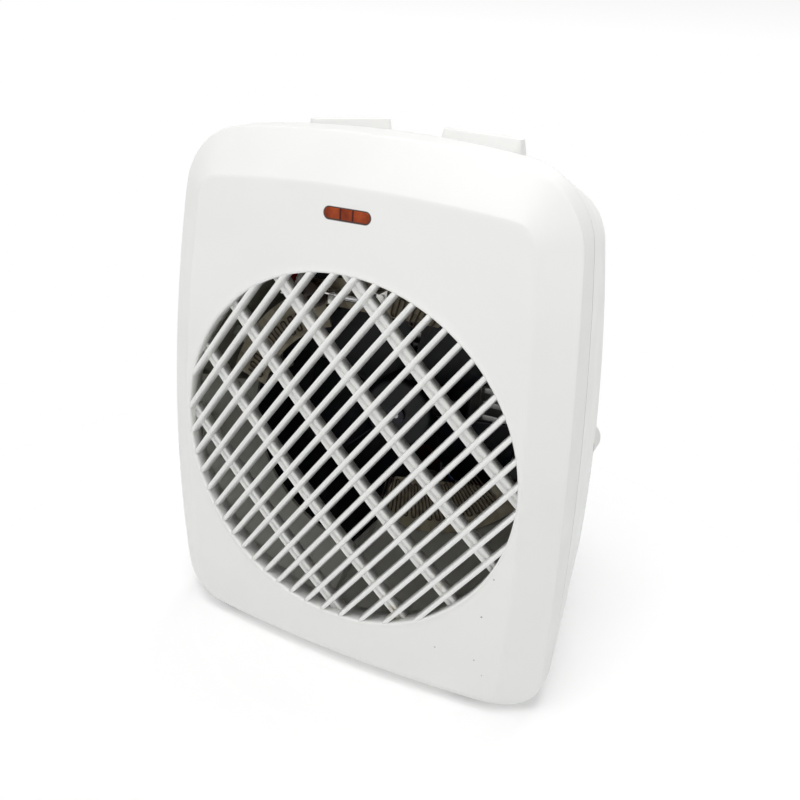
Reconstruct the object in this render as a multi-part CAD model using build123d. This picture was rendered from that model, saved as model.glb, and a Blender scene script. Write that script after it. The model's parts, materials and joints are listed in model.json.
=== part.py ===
from build123d import *
import os
from math import cos, radians, sin, sqrt

# Upright 2 kW fan heater: a two-part moulded casing with a round front grille, an axial fan and a
# two-stage nichrome element behind it, and two rotary controls on top.
#
# Everything is modelled about the centre of the grille, on the face: x to the viewer's right,
# y back into the heater and z up. save() moves each piece so that the origin is under the middle
# of the heater, on the surface that it stands on. All dimensions are in millimetres.

# ---- Driving dimensions ----
WALL = 2.5                  # moulded wall thickness
GAP = 0.3                   # clearance between neighbouring pieces
FACE_BOW_X = 0.00085        # the face is crowned: depth = FACE_BOW_X * x^2 + FACE_BOW_Z * z^2
FACE_BOW_Z = 0.00044
FACE_RADIUS_Z = 1 / (2 * FACE_BOW_Z)

CASE_BASE = -107.0          # height of the casing's underside
BASE_CORNER = 15.0          # radius of the casing's lower corners at the seam
SEAM_DEPTH = 32.0           # where the front and rear covers meet
TAPER_DEPTH = 110.0         # depth at which the rear outline is given
CASE_DEPTH = 118.0          # outside of the back wall
INTAKE_RADIUS = 60.0        # the back wall's air slots lie inside this circle
SLOT_PITCH = 7.5
SLOT_HEIGHT = 2.8

GRILLE_RADIUS = 80.0
LIP_WALL = 2.0              # wall of the short tube behind the grille opening
LIP_DEPTH = 13.0

BAR_ANGLE = 53.64           # thin front bars, degrees from the x axis
BAR_PITCH = 7.874
BAR_COUNT = 20
BAR_WIDTH = 2.6
BAR_FRONT = 0.15            # bars sit a hair below the face
BAR_HEIGHT = 5.2
RIB_ANGLE = -45.0           # heavier ribs behind the bars
RIB_PITCH = 28.06
RIB_COUNT = 5
RIB_WIDTH = 5.0
RIB_GROOVE = 1.0            # groove between a rib's two ridges
RIB_FRONT = 4.2             # depth of a rib's front below the face
RIB_HEIGHT = 4.8

CHEEK_RADIUS = 60.0         # mouth of the duct on its left side
CHEEK_DEPTH = 30.0
CHEEK_START = 168.0         # the cheek's sector, degrees from +x towards +z
CHEEK_END = 265.0
DUCT_DEPTH = 60.0           # back edge of the duct
DUCT_BACK_RADIUS = 73.1
DUCT_BACK_CENTRE = (8.2, 14.5)
DUCT_WALL = 1.8

FAN_RADIUS = 57.5
FAN_FRONT = 60.0
SHROUD_RADIUS = 60.3
SPIDER_DEPTH = 86.0
STACK_FRONT = 94.0          # motor laminations
STACK_BACK = 108.0
SHAFT_RADIUS = 1.6
ROTOR_RADIUS = 11.0
MOTOR_SCREW_X = 18.0        # the motor's two long screws stand either side of the shaft
MOTOR_SCREW_HOLE = 1.6

MICA_THICKNESS = 0.8
UPPER_MICA_FRONT = 23.6     # depth of each carrier's front
LOWER_MICA_FRONT = 57.4
LOWER_MICA_CENTRE = (7.9, 14.0)
HEAT_WIRE_RADIUS = 0.35
CUTOUT_X, CUTOUT_HEIGHT = -25.0, 64.5
LEAD_RADIUS = 1.1

KNOB_X = 30.6               # controls stand either side of the middle
KNOB_DEPTH = 60.0
KNOB_TOP = 132.0
KNOB_RADIUS = 20.0
KNOB_GRIP_LENGTH = 38.6
PAD_TOP = 121.5             # level floor under each knob
THERMOSTAT_TURN = 57.0      # how the grips stand at rest, degrees from the x axis
SELECTOR_TURN = -11.0
THERMOSTAT_HEIGHT = 20.0    # height of each switch body
SELECTOR_HEIGHT = 23.0
CONTROL_SCREW_X = 14.8      # each control's screws stand this far from its spindle

LENS_HEIGHT = 103.1
LENS_LENGTH = 20.5
LENS_WIDTH = 4.8
LAMP_PEG_X = 15.5           # pegs that the lamp holder fits over

GLAND_X = 78.3              # domed cord gland at the back, on the viewer's right
GLAND_HEIGHT = -13.5
GLAND_RADIUS = 8.0
GLAND_BACK = 124.0

FOOT_HEIGHT = 2.5
FOOT_RADIUS = 7.0

CASE_SCREWS = [(-58, 97), (58, 97), (-70, -88), (70, -88)]
TERMINALS = [(-34.5, 60.0), (-15.5, 63.8), (1.5, 66.5), (7.5, 68.0)]
HOUSING_POST = 69.3         # the fan housing's posts stand at (+-this, +-this)
DUCT_LUG = 64.3             # the duct's lugs stand at (+-this, +-this)


# ---- Helpers ----
def at_depth(depth):
    """Plane facing the front at a depth: its own axes are x and z."""
    return Plane.XZ.offset(-depth)


def slab(sketch, front, back):
    """Solid between two depths with the given outline in x and z."""
    return extrude(at_depth(front) * sketch, amount=back - front, dir=(0, 1, 0))


def rod(radius, front, back, x=0.0, z=0.0):
    return slab(Pos(x, z) * Circle(radius), front, back)


def tube(inner, outer, front, back, x=0.0, z=0.0):
    return slab(Pos(x, z) * (Circle(outer) - Circle(inner)), front, back)


def post(radius, low, high, x=0.0, depth=KNOB_DEPTH):
    """Upright cylinder."""
    return Pos(x, depth, (low + high) / 2) * Cylinder(radius, high - low)


def block(x0, x1, y0, y1, z0, z1):
    return Pos((x0 + x1) / 2, (y0 + y1) / 2, (z0 + z1) / 2) * Box(x1 - x0, y1 - y0, z1 - z0)


def polar(radius, angle):
    return radius * cos(radians(angle)), radius * sin(radians(angle))


def wedge(start, end, reach, front, back):
    """Sector of a disc from one angle to another, as a solid to cut or keep with."""
    points = [(0, 0)] + [polar(reach, start + (end - start) * i / 8) for i in range(9)]
    return slab(make_face(Polyline(*points, close=True)), front, back)


def ring_sector(inner, outer, start, end, front, back):
    return tube(inner, outer, front, back) & wedge(start, end, outer * 1.3, front, back)


def square_places(reach):
    return [(x, z) for x in (-reach, reach) for z in (-reach, reach)]


def face_depth(x, z):
    return FACE_BOW_X * x**2 + FACE_BOW_Z * z**2


def wire(points):
    """Round lead that runs smoothly through the points."""
    path = Spline(*points)
    section = Plane(origin=path @ 0, z_dir=path % 0) * Circle(LEAD_RADIUS)
    return sweep(section, path=path)


# ---- Outlines of the casing ----
def outline(width, side_bow, waist, top, top_bow, base, base_bow, top_corner, base_corner):
    """Closed outline of four gently bowed edges joined by round corners."""

    def side(z):
        return width - side_bow * (z - waist) ** 2

    def crown(x):
        return top - top_bow * x**2

    def floor(x):
        return base + base_bow * x**2

    top_x, base_x = width, width
    for _ in range(20):
        top_x = side(crown(top_x))
        base_x = side(floor(base_x))
    top_z, base_z = crown(top_x), floor(base_x)
    middle = (top_z + base_z) / 2
    right = ThreePointArc((base_x, base_z), (side(middle), middle), (top_x, top_z))
    over = ThreePointArc((top_x, top_z), (0, top), (-top_x, top_z))
    left = ThreePointArc((-top_x, top_z), (-side(middle), middle), (-base_x, base_z))
    if base_bow:
        under = ThreePointArc((-base_x, base_z), (0, base), (base_x, base_z))
    else:
        under = Line((-base_x, base_z), (base_x, base_z))
    face = make_face([right, over, left, under])
    corners = face.vertices().sort_by(Axis.Y)
    face = fillet(corners[-2:], top_corner)
    corners = [v for v in face.vertices() if v.Y < middle]
    corners.sort(key=lambda v: v.Y)
    return fillet(corners[:2], base_corner)


def wall_outline(depth, inset):
    """Outline of the front cover's side wall, which widens slightly towards the seam."""
    spread = 0.025 * (depth - 16)
    return outline(
        width=98.1 + spread - inset, side_bow=0.00039, waist=-55,
        top=132.2 + spread - inset, top_bow=0.001, base=CASE_BASE + inset, base_bow=0,
        top_corner=34 - inset, base_corner=BASE_CORNER - inset,
    )


def bevel_outline(depth, inset):
    """Outline of the sloping border round the face, at one depth."""
    run = depth - 4
    return outline(
        width=79.7 + 1.39 * run - inset, side_bow=0.001, waist=-14,
        top=110.4 + 1.817 * run - inset, top_bow=0.00235,
        base=-99.8 - 1.44 * run + inset, base_bow=0.0012,
        top_corner=2 + 2.0 * run, base_corner=2 + 1.6 * run,
    )


def rear_outline(depth, inset):
    """Outline of the rear cover, which narrows and drops towards the back."""
    part = (depth - SEAM_DEPTH) / (TAPER_DEPTH - SEAM_DEPTH)
    return outline(
        width=98.5 - 12.3 * part - inset, side_bow=0.00039 + 0.00019 * part, waist=-55,
        top=132.6 - 20.1 * part - inset, top_bow=0.0011, base=CASE_BASE + inset, base_bow=0,
        top_corner=34 - 6 * part - inset, base_corner=BASE_CORNER + 24 * part - inset,
    )


def crowned_block(front, back):
    """Block whose front is the heater's crowned face, set back by front."""
    half = 125
    edge = front + face_depth(half, 0)
    profile = make_face([
        ThreePointArc((-half, edge), (0, front), (half, edge)),
        Polyline((half, edge), (half, back), (-half, back), (-half, edge)),
    ])
    axis = Axis((0, front + FACE_RADIUS_Z, 0), (1, 0, 0))
    swing = 16
    return revolve(profile, axis=axis, revolution_arc=swing).rotate(axis, -swing / 2)


def front_form(inset):
    """Solid form of the front cover: crowned face, sloping border and side wall."""
    slope_inset = inset * 1.8
    start = 4 + inset
    back = SEAM_DEPTH + inset
    near = bevel_outline(start - inset, slope_inset)
    far = bevel_outline(26, slope_inset)
    border = loft([at_depth(start - inset) * near, at_depth(26) * far], ruled=True)
    border += slab(near, -1, start - inset)
    border += slab(far, 26, back)
    walls = loft(
        [at_depth(-1) * wall_outline(-1, inset), at_depth(back) * wall_outline(back, inset)],
        ruled=True,
    )
    return crowned_block(inset, 60) & border & walls


def rear_form(inset):
    """Solid form of the rear cover."""
    front = SEAM_DEPTH + 0.3 - (inset > 0)
    back = CASE_DEPTH - inset
    form = loft(
        [at_depth(front) * rear_outline(front, inset), at_depth(back) * rear_outline(back, inset)],
        ruled=True,
    )
    rim = form.faces().sort_by(Axis.Y)[-1].edges()
    return fillet(rim, 10 - inset)


# ---- Front cover and its grille ----
def stripes(angle, pitch, count, width, groove=0.0):
    """Parallel strips across the grille; a groove leaves only the two ridges of each."""
    strips = Sketch()
    for i in range(count):
        offset = (i - (count - 1) / 2) * pitch
        if groove:
            ridge = (width - groove) / 2
            for side in (-1, 1):
                strips += Rot(0, 0, angle) * Pos(0, offset + side * (groove + ridge) / 2) * Rectangle(
                    3 * GRILLE_RADIUS, ridge)
        else:
            strips += Rot(0, 0, angle) * Pos(0, offset) * Rectangle(3 * GRILLE_RADIUS, width)
    return strips & Circle(GRILLE_RADIUS + 0.2)


def crowned_layer(sketch, front, back):
    """Solid with the given outline that follows the face between two depths below it."""
    return slab(sketch, -1, 30) & (crowned_block(front, 60) - crowned_block(back, 60))


def build_bars():
    return crowned_layer(stripes(BAR_ANGLE, BAR_PITCH, BAR_COUNT, BAR_WIDTH), BAR_FRONT, BAR_HEIGHT)


def build_ribs():
    ridge_depth = 0.8
    ribs = crowned_layer(
        stripes(RIB_ANGLE, RIB_PITCH, RIB_COUNT, RIB_WIDTH), RIB_FRONT + ridge_depth,
        RIB_FRONT + RIB_HEIGHT,
    )
    return ribs + crowned_layer(
        stripes(RIB_ANGLE, RIB_PITCH, RIB_COUNT, RIB_WIDTH, RIB_GROOVE), RIB_FRONT,
        RIB_FRONT + ridge_depth + 0.4,
    )


def screw_boss(x, z, radius, hole, front, back, hole_front):
    return rod(radius, front, back, x, z) - rod(hole, hole_front, back, x, z)


def build_front_cover():
    form = front_form(0)
    face = form.faces().sort_by(Axis.Y)[0]
    form = fillet(face.edges(), 1.6)
    cover = form - front_form(WALL)
    cover -= rod(GRILLE_RADIUS, -5, 30)
    solid_front = crowned_block(0, 60)
    cover += tube(GRILLE_RADIUS, GRILLE_RADIUS + LIP_WALL, -2, LIP_DEPTH) & solid_front
    inside = crowned_block(WALL - 0.5, 60)
    for x, z in CASE_SCREWS:
        cover += screw_boss(x, z, 4.5, 2.0, 4, 44.8, 24) & inside
    for x, z in square_places(DUCT_LUG):
        cover += screw_boss(x, z, 3.6, 1.5, 4, LIP_DEPTH, 9) & inside
    for x in (-LAMP_PEG_X, LAMP_PEG_X):
        cover += rod(1.4, 5, 12.4, x, LENS_HEIGHT) & inside
    cover -= slab(Pos(0, LENS_HEIGHT) * SlotOverall(LENS_LENGTH, LENS_WIDTH), -2, 12)
    cover += build_ribs()
    return cover + build_bars()


# ---- Rear cover ----
def intake_slots():
    """Air slots that rise towards the back at 45 degrees, interrupted by three upright ribs."""
    run = WALL + 3
    slots = Sketch()
    for row in range(-7, 8):
        z = row * SLOT_PITCH
        half = sqrt(INTAKE_RADIUS**2 - z**2)
        for low, high in ((-half, -23.5), (-20.5, -1.5), (1.5, 20.5), (23.5, half)):
            if high - low > 6:
                slots += Pos((low + high) / 2, z - run / 2) * Rectangle(high - low, SLOT_HEIGHT)
    start = at_depth(CASE_DEPTH - WALL - 1.5)
    return extrude(start * slots, amount=run * sqrt(2), dir=(0, 1, 1))


def build_lip():
    """Thin rim of the rear cover that locates inside the front cover."""
    front = SEAM_DEPTH - 4
    outer = loft([
        at_depth(front) * wall_outline(front, WALL + GAP),
        at_depth(SEAM_DEPTH + 4) * rear_outline(SEAM_DEPTH + 4, WALL - 0.2),
    ], ruled=True)
    inner = loft([
        at_depth(front - 1) * wall_outline(front, WALL + GAP + 1.5),
        at_depth(SEAM_DEPTH + 5) * rear_outline(SEAM_DEPTH + 5, WALL + 1.3),
    ], ruled=True)
    return outer - inner


def build_rear_cover():
    form = rear_form(0)
    hollow = rear_form(WALL)
    for x in (-KNOB_X, KNOB_X):
        hollow -= post(KNOB_RADIUS + 3.5, PAD_TOP - WALL, 150, x)
    cover = form - hollow
    for x in (-KNOB_X, KNOB_X):
        cover -= post(KNOB_RADIUS + 1.5, PAD_TOP, 150, x)
        cover -= post(5.5, 100, 130, x)
    cover -= intake_slots()
    for x, z in square_places(HOUSING_POST):
        cover += rod(4.2, 62.8, CASE_DEPTH - 1, x, z) - rod(1.4, 60, 84, x, z)
    cover += block(65, 75, 100, CASE_DEPTH - 1, -38.5, -33.5)
    cover += rod(9, 101, 107, GLAND_X, GLAND_HEIGHT) & form
    cover -= rod(5.2, 90, 130, GLAND_X, GLAND_HEIGHT)
    cover -= rod(GLAND_RADIUS + 0.1, 106, 130, GLAND_X, GLAND_HEIGHT)
    cover += build_lip()
    for x, z in CASE_SCREWS:
        cover += tube(2.3, 6.0, 45.2, CASE_DEPTH - 1, x, z)
        cover -= rod(4.6, 54, CASE_DEPTH + 2, x, z)
    for x in (-KNOB_X, KNOB_X):
        for side in (-CONTROL_SCREW_X, CONTROL_SCREW_X):
            cover -= post(1.4, 110, 130, x + side)
    return cover


def build_gland():
    """Domed moulding that the supply cord enters by."""
    shank = rod(GLAND_RADIUS, 106.1, GLAND_BACK - GLAND_RADIUS, GLAND_X, GLAND_HEIGHT)
    dome = Pos(GLAND_X, GLAND_BACK - GLAND_RADIUS, GLAND_HEIGHT) * Sphere(GLAND_RADIUS)
    neck = rod(5.0, 99, 108, GLAND_X, GLAND_HEIGHT)
    gland = shank + (dome & rod(20, GLAND_BACK - GLAND_RADIUS, 140, GLAND_X, GLAND_HEIGHT)) + neck
    return gland - rod(3.3, 90, 140, GLAND_X, GLAND_HEIGHT)


def foot_places():
    return [(-64, 22), (64, 22), (-42, 98), (42, 98)]


def build_feet():
    feet = []
    for x, depth in foot_places():
        foot = post(FOOT_RADIUS, CASE_BASE - FOOT_HEIGHT, CASE_BASE, x, depth)
        feet.append(fillet(foot.edges().sort_by(Axis.Z)[0], 0.8))
    return feet


# ---- Duct and fan housing ----
def build_air_duct():
    """Funnel from the grille to the fan, with a conical cheek that narrows its left side."""
    front_r = GRILLE_RADIUS + 0.5
    mouth = LIP_DEPTH + 0.2
    x, z = DUCT_BACK_CENTRE
    outer = loft([
        at_depth(mouth) * Circle(front_r + DUCT_WALL),
        at_depth(DUCT_DEPTH) * (Pos(x, z) * Circle(DUCT_BACK_RADIUS + DUCT_WALL)),
    ])
    inner = loft([
        at_depth(mouth - 0.01) * Circle(front_r),
        at_depth(DUCT_DEPTH + 0.01) * (Pos(x, z) * Circle(DUCT_BACK_RADIUS)),
    ])
    funnel = outer - inner
    funnel -= wedge(CHEEK_START, CHEEK_END, 130, mouth + 2, DUCT_DEPTH + 5)
    slope_profile = make_face(Polyline(
        (front_r, mouth), (CHEEK_RADIUS, CHEEK_DEPTH), (CHEEK_RADIUS, CHEEK_DEPTH + DUCT_WALL),
        (front_r + DUCT_WALL, mouth + DUCT_WALL + 0.2), (front_r + DUCT_WALL, mouth), close=True,
    ))
    cheek = revolve(slope_profile, axis=Axis.Y, revolution_arc=360)
    cheek &= wedge(CHEEK_START, CHEEK_END, 130, mouth, DUCT_DEPTH)
    duct = funnel + cheek
    for angle in (CHEEK_START, CHEEK_END):
        riser = wedge(angle - 0.9, angle + 0.9, 130, mouth, DUCT_DEPTH)
        shape = make_face(Polyline(
            (front_r, mouth), (CHEEK_RADIUS, CHEEK_DEPTH), (CHEEK_RADIUS, DUCT_DEPTH),
            (front_r, DUCT_DEPTH), close=True,
        ))
        riser &= revolve(shape, axis=Axis.Y, revolution_arc=360)
        duct += riser & outer
    duct += tube(front_r, front_r + 6, mouth, mouth + 2)
    for lug_x, lug_z in square_places(DUCT_LUG):
        lug = rod(5.5, mouth, mouth + 2, lug_x, lug_z)
        duct += lug - rod(front_r + 3, mouth, mouth + 2)
        duct -= rod(1.6, mouth - 1, mouth + 3, lug_x, lug_z)
    lead_slot = extrude(Pos(-24, 26) * SlotOverall(36, 14), amount=40)
    return duct - Pos(0, 0, 60) * lead_slot


def build_fan_housing():
    """Black moulding: mounting plate, ring round the blades, side scoop and motor spider."""
    front = DUCT_DEPTH + 0.6
    spider_back = SPIDER_DEPTH + 2.5
    x, z = DUCT_BACK_CENTRE
    plate = rod(82, front, front + 2) + rod(DUCT_BACK_RADIUS + 3.4, front, front + 2, x, z)
    for x, z in square_places(HOUSING_POST):
        plate += rod(6, front, front + 2, x, z)
    for turn in range(4):
        ear = block(70, HOUSING_POST * sqrt(2), front, front + 2, -6, 6)
        plate += ear.rotate(Axis.Y, 45 + 90 * turn)
    shroud_outer = SHROUD_RADIUS + 2
    housing = plate - rod(SHROUD_RADIUS, front - 1, front + 3)
    housing += tube(SHROUD_RADIUS, shroud_outer, front, spider_back)
    housing += ring_sector(
        SHROUD_RADIUS, shroud_outer, CHEEK_START + 2, CHEEK_END - 2, CHEEK_DEPTH + 2.2, front + 1)
    housing += rod(26, SPIDER_DEPTH, spider_back)
    for turn in range(4):
        arm = block(20, SHROUD_RADIUS + 1, SPIDER_DEPTH, spider_back, -13, 13)
        arm &= rod(SHROUD_RADIUS + 1, SPIDER_DEPTH, spider_back)
        housing += arm.rotate(Axis.Y, 45 + 90 * turn)
    housing -= rod(5, SPIDER_DEPTH - 1, SPIDER_DEPTH + 4)
    for x in (-MOTOR_SCREW_X, MOTOR_SCREW_X):
        housing -= rod(MOTOR_SCREW_HOLE, SPIDER_DEPTH - 1, SPIDER_DEPTH + 4, x)
    for x, z in square_places(HOUSING_POST):
        housing -= rod(1.6, front - 1, front + 3, x, z)
    return housing


# ---- Fan and motor ----
def build_impeller():
    """Five broad blades on a cup-shaped hub."""
    hub_radius = 18.0
    hub = rod(hub_radius, FAN_FRONT, 81)
    hub = fillet(hub.edges().group_by(Axis.Y)[0], 3)
    hub -= rod(hub_radius - 2, FAN_FRONT + 2.5, 82)
    hub += rod(5, FAN_FRONT + 1, 80)
    middle = 72.5

    def chord(radius, length, pitch):
        flat = Plane(origin=(radius, middle, 0), x_dir=(0, 0, 1), z_dir=(1, 0, 0))
        return flat * Rot(0, 0, pitch) * RectangleRounded(length, 1.6, 0.7)

    blade = loft([chord(hub_radius - 1.2, 23, 42), chord(FAN_RADIUS + 2, 64, 16)], ruled=True)
    blade &= rod(FAN_RADIUS, 50, 90)
    blade -= rod(hub_radius - 1, 50, 90)
    impeller = hub
    for turn in range(5):
        impeller += blade.rotate(Axis.Y, 20 + 72 * turn)
    return impeller - rod(SHAFT_RADIUS, FAN_FRONT - 1, 90)


def build_clip():
    """Star washer that keeps the impeller on its shaft."""
    return tube(SHAFT_RADIUS, 4.2, FAN_FRONT - 1.2, FAN_FRONT - 0.1)


def build_stack():
    """Laminated C-frame with the rotor bore above and the coil leg below."""
    outline_2d = RectangleRounded(48, 56, 3)
    frame = slab(Pos(0, -9) * outline_2d, STACK_FRONT, STACK_BACK)
    frame -= slab(Pos(0, -22) * Rectangle(30, 12), STACK_FRONT - 1, STACK_BACK + 1)
    frame -= rod(ROTOR_RADIUS + 0.4, STACK_FRONT - 1, STACK_BACK + 1)
    for x in (-MOTOR_SCREW_X, MOTOR_SCREW_X):
        frame -= rod(MOTOR_SCREW_HOLE, STACK_FRONT - 1, STACK_BACK + 1, x)
    return frame


def build_bobbin():
    """Spool round the bottom leg of the stack."""
    spool = block(-14, 14, STACK_FRONT - 1.3, STACK_BACK + 1.3, -38.3, -26.7)
    for x0, x1 in ((-14, -12.8), (12.8, 14)):
        spool += block(x0, x1, STACK_FRONT - 4.6, STACK_BACK + 4.6, -42.4, -22.4)
    return spool - block(-20, 20, STACK_FRONT - 0.3, STACK_BACK + 0.3, -37.3, -27.7)


def build_coil():
    outer = block(-12.6, 12.6, STACK_FRONT - 4.4, STACK_BACK + 4.4, -42, -22.8)
    outer = fillet(outer.edges().filter_by(Axis.X), 2.5)
    return outer - block(-20, 20, STACK_FRONT - 1.5, STACK_BACK + 1.5, -38.5, -26.5)


def build_motor_bracket(near, far, bush):
    """Bearing strap across one face of the stack, held by the two long screws."""
    strap = slab(RectangleRounded(46, 12, 3), near, far)
    strap += rod(6.5, min(near, bush), max(far, bush))
    strap -= rod(4.05, near - 6, far + 6)
    for x in (-MOTOR_SCREW_X, MOTOR_SCREW_X):
        strap -= rod(MOTOR_SCREW_HOLE, near - 1, far + 1, x)
    return strap


def build_spacers():
    """Sleeves between the brackets, the stack and the spider."""
    spans = ((SPIDER_DEPTH + 2.7, 90.0), (92.0, STACK_FRONT), (STACK_BACK, 110.0))
    places = [(x, a, b) for x in (-MOTOR_SCREW_X, MOTOR_SCREW_X) for a, b in spans]
    return [tube(1.7, 3.0, a + 0.05, b - 0.05, x) for x, a, b in places]


def build_motor_screws():
    screws = []
    for x in (-MOTOR_SCREW_X, MOTOR_SCREW_X):
        head = fillet(rod(2.9, 84.2, SPIDER_DEPTH, x).edges().sort_by(Axis.Y)[0], 0.8)
        head -= slab(Pos(x, 0) * Rectangle(4.0, 0.8), 84, 84.8)
        nut = slab(Pos(x, 0) * RegularPolygon(2.9, 6), 112.1, 114.2)
        screws.append(head + rod(1.45, SPIDER_DEPTH - 0.5, 114.4, x) + nut)
    return screws


# ---- Heating element ----
def build_upper_mica():
    """Mica carrier across the top of the duct, just behind the grille."""
    front, back = UPPER_MICA_FRONT, UPPER_MICA_FRONT + MICA_THICKNESS
    left = ring_sector(53, 70.5, 108, 163, front, back)
    right = ring_sector(56, 73.5, 61, 108.5, front, back)
    right -= slab(Pos(0, 40) * Rectangle(200, 40), front - 1, back + 1)
    plate = left + right
    for x, z in TERMINALS:
        plate -= rod(1.35, front - 1, back + 1, x, z)
    return plate


def build_lower_mica():
    """Mica carrier across the bottom right of the duct's back edge."""
    front, back = LOWER_MICA_FRONT, LOWER_MICA_FRONT + MICA_THICKNESS
    x, z = LOWER_MICA_CENTRE
    plate = rod(DUCT_BACK_RADIUS - 0.5, front, back, x, z)
    window = make_face(Polyline(
        (-3.2, -52), (-4.7, -49), (2.7, -32), (47.3, -24.2), (66, -16), (90, -16), (90, -100),
        (-1.0, -100), close=True,
    ))
    return plate & slab(window, front - 1, back + 1)


def zigzag(centre, inner, outer, start, end, legs, depth):
    """Nichrome wire folded to and fro between two radii."""
    points = []
    for i in range(legs + 1):
        angle = start + (end - start) * i / legs
        reach = (inner, outer) if i % 2 == 0 else (outer, inner)
        for r in reach:
            x, z = polar(r, angle)
            points.append((centre[0] + x, depth, centre[1] + z))
    path = FilletPolyline(*points, radius=0.8)
    section = Plane(origin=path @ 0, z_dir=path % 0) * Circle(HEAT_WIRE_RADIUS)
    return sweep(section, path=path)


def build_low_wire():
    return zigzag(LOWER_MICA_CENTRE, 47, 65.5, 259, 318, 30, LOWER_MICA_FRONT - 0.8)


def build_high_wire():
    return [
        zigzag((0, 0), 55.5, 63, 121, 160, 18, UPPER_MICA_FRONT - 0.8),
        zigzag((0, 0), 62.5, 71, 63, 79, 8, UPPER_MICA_FRONT - 0.8),
    ]


def build_cutout():
    """Disc thermostat that opens if the heater overheats."""
    body = rod(5.8, 18.0, 23.2, CUTOUT_X, CUTOUT_HEIGHT)
    body += rod(6.6, 22.0, 23.3, CUTOUT_X, CUTOUT_HEIGHT)
    for x in (CUTOUT_X - 3.6, CUTOUT_X + 3.6):
        body += block(x - 1.5, x + 1.5, 13.5, 18.1, CUTOUT_HEIGHT - 0.4, CUTOUT_HEIGHT + 0.4)
    return body


def build_fuse():
    """One-shot thermal fuse strapped beside the cut-out."""
    place = Pos(-7, 20.5, 66) * Rot(0, 90, 0)
    return place * (Cylinder(1.9, 11) + Cylinder(0.5, 19))


def build_terminals():
    """Push-on tabs riveted to the upper carrier."""
    tabs = []
    for x, z in TERMINALS:
        tab = block(x - 2.4, x + 2.4, 22.7, 23.3, z - 3, z + 4)
        tab += block(x - 2.4, x + 2.4, 15.5, 23.0, z + 3.4, z + 4.0)
        tab += rod(1.3, 21.9, 25.2, x, z)
        tabs.append(tab)
    return tabs


def build_mica_clips():
    """Steel strips that tie the mica carriers to the duct."""
    clips = []
    for angle in (66, 92, 150):
        wall_x, wall_z = polar(1, angle)
        wall = 78.7 + 2.0 * wall_x + 3.6 * wall_z
        clips.append(ring_sector(69.5, wall - 0.6, angle - 2.2, angle + 2.2, 24.6, 25.4))
    for angle in (282, 325):
        x, z = polar(DUCT_BACK_RADIUS - 4, angle)
        px, pz = LOWER_MICA_CENTRE[0] + x, LOWER_MICA_CENTRE[1] + z
        strip = block(-5, 3.4, 58.4, 59.2, -2.5, 2.5).rotate(Axis.Y, -angle)
        clips.append(Pos(px, 0, pz) * strip)
    return clips


# ---- Controls ----
def build_knob(x, turn):
    """Round skirt with a wedge-shaped grip across it and a socket for the spindle."""
    skirt_top = PAD_TOP + 3.2
    skirt = post(KNOB_RADIUS, PAD_TOP + 0.6, skirt_top, 0, 0)
    skirt = fillet(skirt.edges().group_by(Axis.Z)[-1], 1.0)
    skirt -= post(KNOB_RADIUS - 2.2, PAD_TOP, PAD_TOP + 1.6, 0, 0)
    low = Pos(0, 0, PAD_TOP + 2.6) * RectangleRounded(KNOB_GRIP_LENGTH + 0.6, 10.5, 3.6)
    high = Pos(0, 0, KNOB_TOP) * RectangleRounded(KNOB_GRIP_LENGTH - 1.4, 4.6, 1.6)
    grip = loft([low, high], ruled=True)
    grip = fillet(grip.faces().sort_by(Axis.Z)[-1].edges(), 0.7)
    knob = skirt + grip
    knob += post(5.0, PAD_TOP - 3.5, PAD_TOP + 3, 0, 0)
    knob -= post(3.0, PAD_TOP - 5, PAD_TOP + 6, 0, 0)
    return Pos(x, KNOB_DEPTH, 0) * knob.rotate(Axis.Z, turn)


def build_spindle(x, turn):
    spindle = post(2.95, 100, PAD_TOP + 5.5, 0, 0)
    spindle -= block(2.0, 4, -4, 4, PAD_TOP - 6, PAD_TOP + 8)
    return Pos(x, KNOB_DEPTH, 0) * spindle.rotate(Axis.Z, turn)


def build_control(x, height):
    """Switch body hung under a knob's floor by two screws."""
    top = PAD_TOP - WALL - 0.1
    body = block(x - 13, x + 13, KNOB_DEPTH - 9, KNOB_DEPTH + 9, top - height, top - 1.2)
    body = fillet(body.edges().filter_by(Axis.Z), 2)
    body += block(x - 17, x + 17, KNOB_DEPTH - 6, KNOB_DEPTH + 6, top - 1.4, top)
    body -= post(5.6, top - 5, top + 1, x)
    body -= post(3.03, 90, top, x)
    for side in (-CONTROL_SCREW_X, CONTROL_SCREW_X):
        body -= post(1.4, top - 9, top + 1, x + side)
    return body


def build_control_tabs(x, height):
    """Blade terminals under a switch body."""
    low = PAD_TOP - WALL - 0.1 - height
    tabs = []
    for side in (-8, 0, 8):
        tabs.append(block(x + side - 2.4, x + side + 2.4, KNOB_DEPTH - 0.4, KNOB_DEPTH + 0.4,
                          low - 5, low - 0.05))
    return tabs


def build_control_screws():
    screws = []
    for x in (-KNOB_X, KNOB_X):
        for side in (-CONTROL_SCREW_X, CONTROL_SCREW_X):
            head = post(2.4, PAD_TOP + 0.02, PAD_TOP + 1.4, x + side)
            screws.append(head + post(1.3, PAD_TOP - 8, PAD_TOP + 0.5, x + side))
    return screws


# ---- Lamp ----
def build_lens():
    lens = slab(SlotOverall(LENS_LENGTH - 0.5, LENS_WIDTH - 0.5), 4.4, 8.0)
    lens = fillet(lens.edges().group_by(Axis.Y)[0], 0.6)
    lens += slab(SlotOverall(LENS_LENGTH + 4, LENS_WIDTH + 4), 7.9, 9.2)
    return Pos(0, 0, LENS_HEIGHT) * lens


def build_lamp():
    bulb = rod(2.6, 12, 21) + Pos(0, 12, 0) * Sphere(2.6)
    return Pos(0, 0, LENS_HEIGHT) * bulb


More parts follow.
